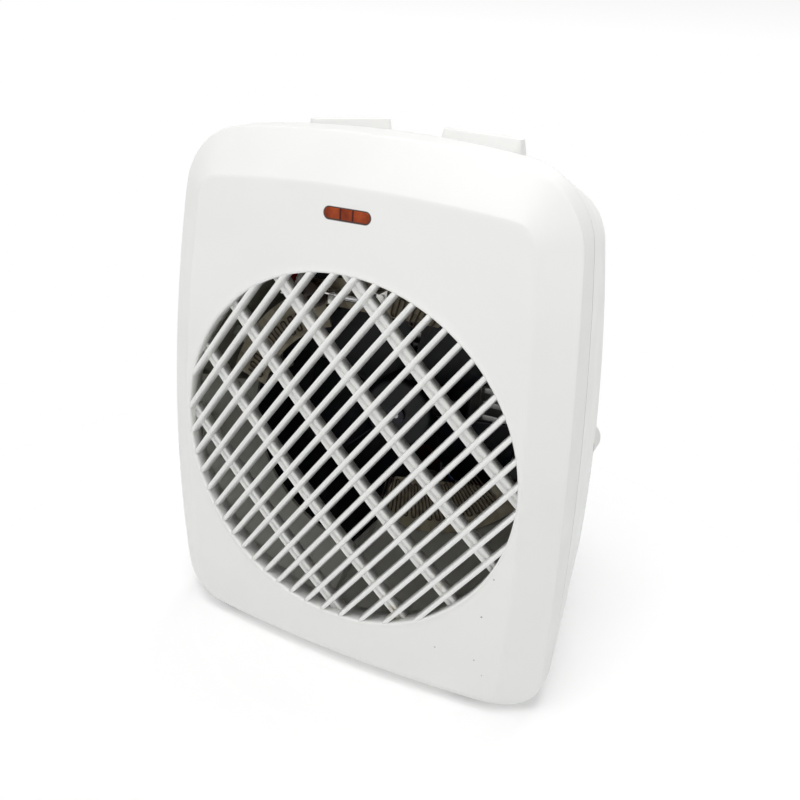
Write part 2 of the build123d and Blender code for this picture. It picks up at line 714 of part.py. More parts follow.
def build_lamp_holder():
    holder = slab(RectangleRounded(36, 8.4, 3), 9.4, 11.4) + rod(4.2, 9.4, 18)
    holder -= rod(2.8, 9, 30)
    for x in (-LAMP_PEG_X, LAMP_PEG_X):
        holder -= rod(1.6, 9, 12, x)
    return Pos(0, 0, LENS_HEIGHT) * holder


# ---- Supply, wiring and fasteners ----
def build_terminal_block():
    block_body = block(60, 80, 88, 100, -50, -22)
    block_body = fillet(block_body.edges().filter_by(Axis.Y), 1.5)
    for z in (-43, -29):
        block_body -= Pos(70, 94, z) * Rot(0, 90, 0) * Cylinder(2.6, 30)
        block_body -= rod(2.0, 84, 94, 72, z)
    return block_body


def build_block_screws():
    return [rod(1.9, 88.4, 91.2, 72, z) - slab(Pos(72, z) * Rectangle(3, 0.6), 88, 89)
            for z in (-43, -29)]


def self_tapper(x, z, head_front, tip, head_radius, radius, turned=False):
    """Pan-head screw; its head faces the front, or the back when turned."""
    step = -1 if turned else 1
    seat = head_front + step * 2.0
    head = rod(head_radius, min(head_front, seat), max(head_front, seat), x, z)
    rim = head.edges().sort_by(Axis.Y)[0 if not turned else -1]
    head = fillet(rim, 0.9)
    slot_a, slot_b = sorted((head_front - step, head_front + step * 0.8))
    for outline_2d in (Rectangle(head_radius * 1.1, 0.8), Rectangle(0.8, head_radius * 1.1)):
        head -= slab(Pos(x, z) * outline_2d, slot_a, slot_b)
    a, b = sorted((seat - step * 0.3, tip))
    return head + rod(radius, a, b, x, z)


def build_case_screws():
    return [self_tapper(x, z, 56, 27, 3.9, 1.95, turned=True) for x, z in CASE_SCREWS]


def build_duct_screws():
    back = LIP_DEPTH + 2.2
    return [self_tapper(x, z, back + 2.05, 9.5, 2.7, 1.45, turned=True)
            for x, z in square_places(DUCT_LUG)]


def build_housing_screws():
    front = DUCT_DEPTH + 0.6
    return [self_tapper(x, z, front - 2.05, 80, 3.0, 1.35) for x, z in square_places(HOUSING_POST)]


def build_brown_leads():
    """Live leads: terminal block to selector, and selector to the upper element."""
    return [
        wire([(66, 94, -29), (52, 94, -26), (50, 95, -8), (60, 95, 30), (52, 92, 62),
                   (41, 80, 85), (38.6, 64, 88.2), (38.6, 60.2, 89.8)]),
        wire([(22.6, 59.5, 90.5), (17, 51, 89.5), (-8, 38, 87.5), (-15, 30.5, 83),
                   (-15.4, 27.5, 77.5), (-15.5, 21.5, 74.2), (-15.5, 18, 68.6)]),
    ]


def build_red_leads():
    """Second-stage lead from the thermostat to the left end of the upper element."""
    return [
        wire([(-30.6, 59.5, 93.5), (-32, 48, 91), (-33, 33, 82), (-33.2, 29, 76),
                   (-34, 22, 70.5), (-34.5, 18, 64.9)]),
    ]


def build_white_leads():
    """Link from the thermostat to the overheat cut-out."""
    return [
        wire([(-22.6, 59.5, 93.5), (-23.5, 48, 91.5), (-24, 32.5, 83.5), (-24.2, 28.5, 78.5),
                   (-27, 21, 76), (-28.6, 16.5, 71), (-28.6, 15.8, 65.8)]),
    ]


def build_blue_leads():
    """Neutral lead from the terminal block to the motor's coil."""
    return [
        wire([(66, 94, -43), (52, 94, -44), (34, 98, -51), (14, 101, -49), (9, 101, -43.4)]),
    ]


# ---- Output ----
SHIFT = Location((0, -GLAND_BACK / 2, FOOT_HEIGHT - CASE_BASE))


def save(name, solids):
    """Write one node: a single solid, or a group of separate solids."""
    if isinstance(solids, list):
        solids = Compound(children=[s.solids()[0] if len(s.solids()) == 1 else s for s in solids])
    export_step(solids.moved(SHIFT), "parts/" + name + ".step")


def main():
    os.makedirs("parts", exist_ok=True)
    save("front_cover", build_front_cover())
    save("rear_cover", build_rear_cover())
    save("cord_gland", build_gland())
    save("feet", build_feet())
    save("air_duct", build_air_duct())
    save("fan_housing", build_fan_housing())
    save("impeller", build_impeller())
    save("impeller_clip", build_clip())
    save("motor_shaft", rod(SHAFT_RADIUS - 0.02, FAN_FRONT - 1.6, 113.5))
    save("rotor", tube(SHAFT_RADIUS, ROTOR_RADIUS, STACK_FRONT, STACK_BACK))
    save("motor_stack", build_stack())
    save("coil_bobbin", build_bobbin())
    save("motor_coil", build_coil())
    save("front_motor_bracket", build_motor_bracket(90, 92, 88.8))
    save("rear_motor_bracket", build_motor_bracket(110, 112, 113.2))
    save("motor_bushes", [tube(1.63, 4.0, 88.8, 92), tube(1.63, 4.0, 110, 113.2)])
    save("motor_spacers", build_spacers())
    save("motor_screws", build_motor_screws())
    save("upper_mica", build_upper_mica())
    save("lower_mica", build_lower_mica())
    save("low_heat_wire", build_low_wire())
    save("high_heat_wire", build_high_wire())
    save("mica_clips", build_mica_clips())
    save("thermal_cutout", build_cutout())
    save("thermal_fuse", build_fuse())
    save("heater_terminals", build_terminals())
    save("thermostat_knob", build_knob(-KNOB_X, THERMOSTAT_TURN))
    save("thermostat_spindle", build_spindle(-KNOB_X, THERMOSTAT_TURN))
    save("thermostat", build_control(-KNOB_X, THERMOSTAT_HEIGHT))
    save("thermostat_tabs", build_control_tabs(-KNOB_X, THERMOSTAT_HEIGHT))
    save("selector_knob", build_knob(KNOB_X, SELECTOR_TURN))
    save("selector_spindle", build_spindle(KNOB_X, SELECTOR_TURN))
    save("selector_switch", build_control(KNOB_X, SELECTOR_HEIGHT))
    save("selector_tabs", build_control_tabs(KNOB_X, SELECTOR_HEIGHT))
    save("control_screws", build_control_screws())
    save("indicator_lens", build_lens())
    save("neon_lamp", build_lamp())
    save("lamp_holder", build_lamp_holder())
    save("terminal_block", build_terminal_block())
    save("block_screws", build_block_screws())
    save("case_screws", build_case_screws())
    save("duct_screws", build_duct_screws())
    save("housing_screws", build_housing_screws())
    save("brown_leads", build_brown_leads())
    save("red_leads", build_red_leads())
    save("white_leads", build_white_leads())
    save("blue_leads", build_blue_leads())


main()
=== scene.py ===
import json
from math import cos, radians, sin

import bpy
import numpy as np
from mathutils import Matrix, Vector


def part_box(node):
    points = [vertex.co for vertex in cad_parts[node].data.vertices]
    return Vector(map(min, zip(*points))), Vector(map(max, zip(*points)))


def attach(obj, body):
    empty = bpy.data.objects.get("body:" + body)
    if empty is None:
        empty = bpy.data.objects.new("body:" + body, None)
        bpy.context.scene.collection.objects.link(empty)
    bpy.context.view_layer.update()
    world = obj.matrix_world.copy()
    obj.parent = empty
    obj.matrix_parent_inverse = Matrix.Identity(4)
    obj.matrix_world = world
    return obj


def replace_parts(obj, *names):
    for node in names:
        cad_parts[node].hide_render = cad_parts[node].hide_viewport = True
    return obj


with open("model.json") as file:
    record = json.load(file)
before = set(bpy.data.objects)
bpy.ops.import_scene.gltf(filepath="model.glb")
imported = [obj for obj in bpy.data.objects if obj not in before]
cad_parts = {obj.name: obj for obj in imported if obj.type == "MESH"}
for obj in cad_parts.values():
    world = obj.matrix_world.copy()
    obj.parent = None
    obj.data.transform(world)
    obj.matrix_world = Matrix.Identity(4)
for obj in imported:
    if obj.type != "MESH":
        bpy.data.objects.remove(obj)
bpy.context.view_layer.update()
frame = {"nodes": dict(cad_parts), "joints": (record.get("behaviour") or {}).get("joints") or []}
MM = 0.001

# ---- Places and sizes in millimetres, and angles in degrees ----
# The fan's axis, the face, the base and the lamp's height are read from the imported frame.
FAN_JOINT = next(j for j in frame["joints"] if j["name"] == "fan_spin")
AXIS_Z = FAN_JOINT["pos_m"][2] / MM        # height of the grille's centre
BAR_SETBACK = 0.15                         # the bars sit this far behind the face
FACE_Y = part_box("front_cover")[0].y / MM - BAR_SETBACK    # nearest point of the crowned face
BOW_X, BOW_Z = 0.00085, 0.00044            # crown of the face
RING_INNER, RING_DEPTH = 80.0, 13.0        # tube round the grille opening
SEAM = 32.0                                # depth where the front cover ends
BEVEL_START, BEVEL_END = 4.0, 26.0         # depths between which the sloping border runs
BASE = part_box("front_cover")[0].z / MM - AXIS_Z           # the casing's underside
SHELL_THICKNESS = 1.9
SHELL_COLUMNS = 360
FACE_BEND, WALL_BEND = 2.4, 3.0            # how far the two edges of the border are rounded
LENS_Z = sum(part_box("indicator_lens")[i].z for i in (0, 1)) / 2 / MM - AXIS_Z
LENS_REACH = 7.85                          # half the straight part of the lens opening
LENS_GAP_SHADOW = (2.45, 2.75)                    # the painted shadow in the gap round the lens fades out between these distances
BAR_ANGLE, BAR_PITCH, BAR_COUNT = 53.64, 7.874, 20
BAR_SHIFT = 3.766                          # how far the first bar past the middle stands from it
BAR_NOSE, BAR_ROOT, BAR_BACK = 0.98, 1.42, 5.2
RIB_ANGLE, RIB_PITCH, RIB_COUNT = -45.0, 28.06, 5
RIB_WIDTH, RIB_FRONT, RIB_BACK = 5.0, 4.2, 9.0
# One rounded ridge of a rib: distance from the rib's edge, and depth below its front.
RIDGE = [(0.0, 1.1), (0.06, 0.3), (0.3, 0.04), (1.0, 0.0), (1.65, 0.05), (1.95, 0.35), (2.08, 0.9)]


def place(x, y, z):
    """Row-frame metres of a point given in millimetres about the grille's centre on the face."""
    return Vector((x * MM, (y + FACE_Y) * MM, (z + AXIS_Z) * MM))


def crown(x, z):
    return BOW_X * x**2 + BOW_Z * z**2


# ---- Mesh helpers ----
def make_mesh(name, verts, faces, body="casing", smooth=True):
    mesh = bpy.data.meshes.new(name)
    mesh.from_pydata([tuple(v) for v in verts], [], faces)
    mesh.validate()
    obj = bpy.data.objects.new(name, mesh)
    bpy.context.scene.collection.objects.link(obj)
    if smooth:
        mesh.polygons.foreach_set("use_smooth", [True] * len(mesh.polygons))
    if body:
        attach(obj, body)
    return obj


def grid_faces(rows, columns, wrap):
    """Quads joining successive rows of points; wrap closes each row into a ring."""
    faces = []
    last = columns if wrap else columns - 1
    for i in range(rows - 1):
        near, far = i * columns, (i + 1) * columns
        for j in range(last):
            k = (j + 1) % columns
            faces.append((near + j, near + k, far + k, far + j))
    return faces


# ---- Outlines of the front cover ----
def outline(width, side_bow, waist, top, top_bow, base, base_bow, top_corner, base_corner, steps=60):
    """Right half of an outline of bowed edges and round corners, from bottom middle to top middle."""

    def side(z):
        return width - side_bow * (z - waist) ** 2

    def unit(a, b):
        length = (a * a + b * b) ** 0.5
        return a / length, b / length

    def corner(radius, level, bow, sign):
        """Centre of a corner and the angles where it meets the side and the top or bottom edge."""
        cx, cz = width - radius, level - sign * radius
        for _ in range(60):
            zs = cz + radius * 0.02
            ns = unit(1, 2 * side_bow * (zs - waist))
            zs = cz + radius * ns[1]
            ns = unit(1, 2 * side_bow * (zs - waist))
            xt = cx
            nt = unit(2 * bow * xt, sign)
            xt = cx + radius * nt[0]
            cx = side(zs) - radius * ns[0]
            cz = level - sign * bow * xt**2 - radius * nt[1]
        return cx, cz, np.arctan2(ns[1], ns[0]), np.arctan2(nt[1], nt[0])

    def arc(cx, cz, radius, start, end):
        return [(cx + radius * cos(a), cz + radius * sin(a)) for a in np.linspace(start, end, steps)]

    tx, tz, t_side, t_end = corner(top_corner, top, top_bow, 1)
    bx, bz, b_side, b_end = corner(base_corner, base, base_bow, -1)
    low = arc(bx, bz, base_corner, b_end, b_side)
    high = arc(tx, tz, top_corner, t_side, t_end)
    under = [(x, base + base_bow * x**2) for x in np.linspace(0, low[0][0], steps)]
    flank = [(side(z), z) for z in np.linspace(low[-1][1], high[0][1], steps)]
    over = [(x, top - top_bow * x**2) for x in np.linspace(high[-1][0], 0, steps)]
    return np.array(under + low + flank + high + over)


def wall_outline(depth):
    """Outline of the side wall, which widens slightly towards the seam."""
    spread = 0.025 * (depth - 16)
    return outline(
        width=98.06 + spread, side_bow=0.00039, waist=-55,
        top=132.15 + spread, top_bow=0.001, base=BASE, base_bow=0.0,
        top_corner=34, base_corner=15,
    )


def bevel_outline(depth):
    """Outline of the sloping border round the face, at one depth."""
    run = depth - BEVEL_START
    return outline(
        width=79.7 + 1.39 * run, side_bow=0.001, waist=-14,
        top=110.4 + 1.817 * run, top_bow=0.00235, base=-99.8 - 1.44 * run, base_bow=0.0012,
        top_corner=2 + 2.0 * run, base_corner=2 + 1.6 * run,
    )


def reach(points, angles):
    """Distance from the grille's centre to a symmetric outline, at each angle."""
    theta = np.arctan2(points[:, 1], points[:, 0])
    radius = np.hypot(points[:, 0], points[:, 1])
    order = np.argsort(theta)
    folded = np.arctan2(np.sin(angles), np.abs(np.cos(angles)))
    return np.interp(folded, theta[order], radius[order])


def soften(before, corner, after, bend, steps):
    """Points of a smooth bend that replaces the corner between two straight legs."""
    a = before - corner
    b = after - corner
    p = corner + a / np.linalg.norm(a) * min(bend, 0.45 * np.linalg.norm(a))
    q = corner + b / np.linalg.norm(b) * min(bend, 0.45 * np.linalg.norm(b))
    t = np.linspace(0, 1, steps)[:, None]
    return (1 - t) ** 2 * p + 2 * t * (1 - t) * corner + t**2 * q


def front_profiles(angles):
    """For each angle, points (radius, depth) from inside the grille ring out and back to the seam."""
    depths = np.linspace(-1, SEAM, 34)
    bevel = np.array([reach(bevel_outline(max(BEVEL_START, min(BEVEL_END, d))), angles) for d in depths])
    walls = np.array([reach(wall_outline(d), angles) for d in depths])
    profiles = []
    for j, angle in enumerate(angles):
        ca, sa = cos(angle), sin(angle)
        flat = np.interp(BEVEL_START, depths, bevel[:, j])
        fine = np.linspace(flat, flat + 60, 1200)
        sloped = depths >= BEVEL_START
        bevel_depth = np.interp(fine, bevel[sloped, j], depths[sloped])
        face_depth = crown(fine * ca, fine * sa)
        start = int(np.argmax(bevel_depth >= face_depth))
        r_a = fine[start]
        y_a = crown(r_a * ca, r_a * sa)
        wall_radius = np.interp(bevel_depth, depths, walls[:, j])
        end = int(np.argmax((fine >= wall_radius) & (np.arange(len(fine)) > start)))
        r_b = fine[end]
        y_b = bevel_depth[end]
        face_r = np.linspace(RING_INNER + 1.1, r_a, 14)
        face = np.stack([face_r, crown(face_r * ca, face_r * sa)], 1)
        slope_r = np.linspace(r_a, r_b, 14)
        slope = np.stack([slope_r, np.interp(slope_r, fine, bevel_depth)], 1)
        slope[0, 1], slope[-1, 1] = y_a, y_b
        wall_y = np.linspace(y_b, SEAM - 0.35, 9)
        wall = np.stack([np.interp(wall_y, depths, walls[:, j]), wall_y], 1)
        wall[0] = slope[-1]
        bend_a = soften(face[-2], face[-1], slope[1], FACE_BEND, 7)
        bend_b = soften(slope[-2], slope[-1], wall[1], WALL_BEND, 9)
        y_ring = crown(RING_INNER * ca, RING_INNER * sa)
        ring = np.array([[RING_INNER, RING_DEPTH], [RING_INNER, 9.0], [RING_INNER, y_ring + 1.6],
                         [RING_INNER + 0.08, y_ring + 0.75], [RING_INNER + 0.4, y_ring + 0.22],
                         [RING_INNER + 1.0, y_ring + 0.03]])
        rim = np.array([[wall[-1, 0] - 0.12, SEAM - 0.1], [wall[-1, 0] - 0.4, SEAM]])
        profiles.append(np.concatenate([ring, face[:-1], bend_a, slope[1:-1], bend_b, wall[1:], rim]))
    return np.array(profiles)


def build_front_shell():
    """Front cover without its bars, as rings of points round the grille's centre."""
    angles = np.linspace(0, 2 * np.pi, SHELL_COLUMNS, endpoint=False)
    profiles = front_profiles(angles)
    verts = []
    rows = profiles.shape[1]
    for i in range(rows):
        for j, angle in enumerate(angles):
            radius, depth = profiles[j, i]
            verts.append(place(radius * cos(angle), depth, radius * sin(angle)))
    faces = [tuple(reversed(f)) for f in grid_faces(rows, SHELL_COLUMNS, True)]
    shell = make_mesh("front_shell", verts, faces)
    thick = shell.modifiers.new("wall", "SOLIDIFY")
    thick.thickness = SHELL_THICKNESS * MM
    thick.offset = -1
    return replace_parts(shell, "front_cover")


def strip_mesh(name, angle, offsets, profile, samples=48):
    """Bars along one direction with a given cross-section of (across, depth) points, on the crown."""
    u = np.array([cos(radians(angle)), sin(radians(angle))])
    n = np.array([sin(radians(angle)), -cos(radians(angle))])
    verts, faces = [], []
    edge = RING_INNER + 0.7
    for offset in offsets:
        base = len(verts)
        rows = len(profile)
        for across, depth in profile:
            s = offset + across
            half = max(edge**2 - s**2, 1.0) ** 0.5
            for t in np.linspace(-half, half, samples):
                x, z = u * t + n * s
                verts.append(place(x, crown(x, z) + depth, z))
        ring = grid_faces(rows, samples, False)
        ring += [((rows - 1) * samples + j, (rows - 1) * samples + j + 1, j + 1, j)
                 for j in range(samples - 1)]
        caps = [tuple(i * samples for i in range(rows)),
                tuple(i * samples + samples - 1 for i in reversed(range(rows)))]
        faces += [tuple(base + v for v in f) for f in ring + caps]
    obj = make_mesh(name, verts, faces)
    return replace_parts(obj, "front_cover")


def bar_profile():
    """Round-nosed bar that widens with draft towards its back."""
    nose = [(-BAR_NOSE * cos(a), 0.95 - 0.8 * sin(a)) for a in np.linspace(0, np.pi, 11)]
    back = [(BAR_ROOT, BAR_BACK - 0.4), (BAR_ROOT - 0.3, BAR_BACK)]
    return nose + back + [(-x, depth) for x, depth in reversed(back)]


def rib_profile():
    """Rib with two rounded ridges and a groove between them."""
    half = RIB_WIDTH / 2
    left = [(-half + x, RIB_FRONT + d) for x, d in RIDGE]
    right = [(half - x, RIB_FRONT + d) for x, d in reversed(RIDGE)]
    return left + right + [(half * 0.9, RIB_BACK), (-half * 0.9, RIB_BACK)]


# ---- Materials ----
class Maker:
    """Short way to build a node material around one Principled shader."""

    def __init__(self, name, rough, metallic=0.0):
        self.mat = bpy.data.materials.new(name)
        self.mat.use_nodes = True
        self.tree = self.mat.node_tree
        self.bsdf = self.tree.nodes["Principled BSDF"]
        self.bsdf.inputs["Roughness"].default_value = rough
        self.bsdf.inputs["Metallic"].default_value = metallic
        self.coords = self.node("ShaderNodeTexCoord").outputs["Object"]

    def node(self, kind, **values):
        n = self.tree.nodes.new(kind)
        for key, value in values.items():
            setattr(n, key, value)
        return n

    def link(self, a, b):
        self.tree.links.new(a, b)
        return b

    def noise(self, scale, detail=4.0, stretch=None):
        n = self.node("ShaderNodeTexNoise")
        n.inputs["Scale"].default_value = scale
        n.inputs["Detail"].default_value = detail
        source = self.coords
        if stretch:
            mapping = self.node("ShaderNodeMapping")
            mapping.inputs["Scale"].default_value = stretch
            self.link(self.coords, mapping.inputs["Vector"])
            source = mapping.outputs["Vector"]
        self.link(source, n.inputs["Vector"])
        return n.outputs["Fac"]

    def ramp(self, source, stops):
        r = self.node("ShaderNodeValToRGB")
        elements = r.color_ramp.elements
        while len(elements) < len(stops):
            elements.new(0.5)
        for element, (position, color) in zip(elements, stops):
            element.position = position
            element.color = (*color, 1.0)
        self.link(source, r.inputs["Fac"])
        return r.outputs["Color"]

    def mix(self, factor, a, b, blend="MIX"):
        m = self.node("ShaderNodeMix", data_type="RGBA", blend_type=blend)
        for source, index in ((factor, 0), (a, 6), (b, 7)):
            if isinstance(source, bpy.types.NodeSocket):
                self.link(source, m.inputs[index])
            elif isinstance(source, tuple):
                m.inputs[index].default_value = (*source, 1.0)
            else:
                m.inputs[index].default_value = source
        return m.outputs[2]

    def remap(self, source, a, b, c, d):
        m = self.node("ShaderNodeMapRange")
        for index, value in enumerate((a, b, c, d)):
            m.inputs[index + 1].default_value = value
        self.link(source, m.inputs[0])
        return m.outputs[0]

    def math(self, operation, *values):
        n = self.node("ShaderNodeMath", operation=operation)
        for socket, value in zip(n.inputs, values):
            if isinstance(value, bpy.types.NodeSocket):
                self.link(value, socket)
            else:
                socket.default_value = value
        return n.outputs[0]

    def axis(self, name):
        """One coordinate of the point that is shaded."""
        split = self.node("ShaderNodeSeparateXYZ")
        self.link(self.coords, split.inputs[0])
        return split.outputs[name]

    def color(self, source):
        self.link(source, self.bsdf.inputs["Base Color"])

    def rough(self, source, low, high):
        self.link(self.remap(source, 0.3, 0.7, low, high), self.bsdf.inputs["Roughness"])

    def bump(self, source, strength, distance):
        b = self.node("ShaderNodeBump")
        b.inputs["Strength"].default_value = strength
        b.inputs["Distance"].default_value = distance
        self.link(source, b.inputs["Height"])
        self.link(b.outputs["Normal"], self.bsdf.inputs["Normal"])


def shade(color, factor):
    return tuple(min(1.0, c * factor) for c in color)


def plastic(name, color, rough=0.4, variation=0.03, grain=1600.0, bump=0.08, specks=False,
            marks_and_lens_shadow=False):
    """Moulded plastic with faint mottling and fine grain, and specks, dust, marks and a painted shadow
    round the lens where asked.
    """
    m = Maker(name, rough)
    cloud = m.noise(22.0, 5.0)
    base = m.ramp(cloud, [(0.3, shade(color, 1 - variation)), (0.7, shade(color, 1 + variation))])
    if specks:
        dots = m.node("ShaderNodeTexVoronoi")
        dots.inputs["Scale"].default_value = 75.0
        m.link(m.coords, dots.inputs["Vector"])
        chance = m.noise(31.0, 2.0)
        spot = m.remap(dots.outputs["Distance"], 0.02, 0.034, 1.0, 0.0)
        rare = m.remap(chance, 0.66, 0.68, 0.0, 1.0)
        base = m.mix(m.math("MULTIPLY", spot, rare), base, (0.2, 0.17, 0.13))
        dust = m.remap(m.noise(9.0, 6.0), 0.55, 0.85, 0.0, 0.25)
        base = m.mix(dust, base, shade(color, 0.9))
    if marks_and_lens_shadow:
        # Marks of use, then the painted shadow round the lens.
        base = add_lens_gap_shadow(m, add_marks(m, base))
    m.color(base)
    m.rough(m.noise(60.0, 6.0), rough - 0.06, rough + 0.08)
    m.bump(m.noise(grain, 2.0), bump, 0.0002)
    m.bsdf.inputs["Specular IOR Level"].default_value = 0.45
    return m.mat


# Marks of use: millimetres across and up from the grille's centre, radius, colour and strength.
# The stains lie on the ribs and the specks on the face.
STAIN, SPECK = (0.42, 0.36, 0.20), (0.10, 0.09, 0.07)
MARKS = [
    (30.5, -70.0, 5.0, STAIN, 0.75),
    (50.0, -48.5, 4.0, STAIN, 0.55),
    (75.0, -35.5, 0.5, SPECK, 0.7),
    (71.5, -56.0, 0.6, SPECK, 0.8),
    (52.0, -79.5, 0.6, SPECK, 0.5),
    (70.0, -80.5, 0.5, SPECK, 0.6),
    (74.0, -88.0, 0.4, SPECK, 0.6),
]


def add_marks(m, base):
    """Lays the marks over a casing material's colour; stains are patchy."""
    ragged = m.noise(420.0, 4.0)
    for x, z, radius, color, strength in MARKS:
        depth = crown(x, z) + (RIB_FRONT if color == STAIN else 0.0)
        distance = m.node("ShaderNodeVectorMath", operation="DISTANCE")
        m.link(m.coords, distance.inputs[0])
        distance.inputs[1].default_value = place(x, depth, z)
        spot = m.remap(distance.outputs["Value"], radius * MM * 0.3, radius * MM, strength, 0.0)
        if color == STAIN:
            spot = m.math("MULTIPLY", spot, m.remap(ragged, 0.42, 0.6, 0.0, 1.0))
        base = m.mix(spot, base, color)
    return base


def add_lens_gap_shadow(m, base):
    """Painted shadow: thin dark line where the lens sits in the cover."""
    along = m.math("SUBTRACT", m.math("ABSOLUTE", m.axis("X")), LENS_REACH * MM)
    along = m.math("MAXIMUM", along, 0.0)
    up = m.math("SUBTRACT", m.axis("Z"), (LENS_Z + AXIS_Z) * MM)
    square = m.math("ADD", m.math("MULTIPLY", along, along), m.math("MULTIPLY", up, up))
    distance = m.math("SQRT", square)
    ring = m.remap(distance, LENS_GAP_SHADOW[0] * MM, LENS_GAP_SHADOW[1] * MM, 1.0, 0.0)
    return m.mix(ring, base, (0.05, 0.02, 0.015))


def metal(name, color, rough=0.3, stretch=(1, 1, 30), dark=0.75):
    """Drawn or rolled metal with streaks along one direction and slight tarnish."""
    m = Maker(name, rough, 1.0)
    streak = m.noise(90.0, 4.0, stretch)
    stain = m.noise(60.0, 5.0)
    base = m.ramp(streak, [(0.25, shade(color, 0.88)), (0.75, shade(color, 1.08))])
    base = m.mix(m.remap(stain, 0.5, 0.8, 0.0, 0.8), base, shade(color, dark))
    m.color(base)
    m.rough(stain, rough - 0.08, rough + 0.15)
    m.bump(streak, 0.12, 0.0001)
    return m.mat


def mica_material():
    """Layered mica board: beige, with flaky darker and scorched patches."""
    m = Maker("mica_board", 0.5)
    flakes = m.node("ShaderNodeTexVoronoi")
    flakes.inputs["Scale"].default_value = 260.0
    m.link(m.coords, flakes.inputs["Vector"])
    base = m.ramp(flakes.outputs["Color"],
                  [(0.1, (0.19, 0.165, 0.11)), (0.9, (0.33, 0.29, 0.205))])
    scorch = m.remap(m.noise(70.0, 4.0), 0.5, 0.75, 0.0, 0.6)
    m.color(m.mix(scorch, base, (0.11, 0.085, 0.055)))
    m.rough(flakes.outputs["Distance"], 0.3, 0.6)
    m.bump(flakes.outputs["Distance"], 0.2, 0.0003)
    return m.mat


def duct_material():
    """Grey moulding, darker and slightly olive towards the top: painted shade, where less light reaches
    inside the duct.
    """
    m = Maker("duct_grey", 0.55)
    # Painted shade: the colour darkens and turns olive with height.
    height = m.remap(m.axis("Z"), 0.035, 0.165, 0.0, 1.0)
    base = m.ramp(height, [(0.0, (0.44, 0.44, 0.41)), (0.45, (0.30, 0.30, 0.275)),
                           (1.0, (0.15, 0.145, 0.105))])
    smear = m.remap(m.noise(26.0, 5.0), 0.45, 0.75, 0.0, 0.35)
    m.color(m.mix(smear, base, (0.17, 0.16, 0.13)))
    m.rough(m.noise(60.0, 6.0), 0.45, 0.65)
    m.bump(m.noise(900.0, 2.0), 0.1, 0.0002)
    return m.mat


def stacked_steel():
    """Laminations: thin dark sheets seen edge on."""
    m = Maker("lamination_stack", 0.45, 1.0)
    sheets = m.node("ShaderNodeTexWave", bands_direction="Y")
    sheets.inputs["Scale"].default_value = 320.0
    m.link(m.coords, sheets.inputs["Vector"])
    m.color(m.ramp(sheets.outputs["Color"], [(0.2, (0.06, 0.06, 0.065)), (0.8, (0.22, 0.22, 0.22))]))
    m.bump(sheets.outputs["Fac"], 0.4, 0.0002)
    return m.mat


def wound_copper():
    """Coil of enamelled wire under varnish."""
    m = Maker("wound_copper", 0.3, 0.8)
    turns = m.node("ShaderNodeTexWave", bands_direction="X")
    turns.inputs["Scale"].default_value = 500.0
    turns.inputs["Distortion"].default_value = 1.2
    m.link(m.coords, turns.inputs["Vector"])
    m.color(m.ramp(turns.outputs["Color"], [(0.1, (0.18, 0.05, 0.02)), (0.9, (0.55, 0.22, 0.09))]))
    m.bump(turns.outputs["Fac"], 0.5, 0.0003)
    return m.mat


def lens_material():
    """Amber-red lamp lens with two darker moulded lines across it."""
    m = Maker("lamp_lens", 0.22)
    line_x = 0.0027
    off_line = m.math("SUBTRACT", m.math("ABSOLUTE", m.axis("X")), line_x)
    dark = m.remap(m.math("ABSOLUTE", off_line), 0.0002, 0.0006, 1.0, 0.0)
    glow = m.ramp(m.noise(220.0, 3.0), [(0.3, (0.17, 0.026, 0.008)), (0.7, (0.34, 0.062, 0.018))])
    m.color(m.mix(dark, glow, (0.06, 0.012, 0.01)))
    m.bsdf.inputs["Specular IOR Level"].default_value = 0.12
    m.bump(m.noise(900.0, 2.0), 0.05, 0.0002)
    return m.mat


def glass_material():
    m = Maker("lamp_glass", 0.08)
    m.bsdf.inputs["Transmission Weight"].default_value = 0.9
    m.color(m.ramp(m.noise(400.0, 2.0), [(0.3, (0.85, 0.6, 0.45)), (0.7, (0.95, 0.75, 0.6))]))
    return m.mat


WHITE = (0.80, 0.803, 0.785)
# Ribs are the casing's plastic painted brighter: painted light standing in for the light that falls on
# them.
RIB_PAINTED_LIGHT = (0.94, 0.94, 0.925)
BLACK = (0.005, 0.005, 0.007)


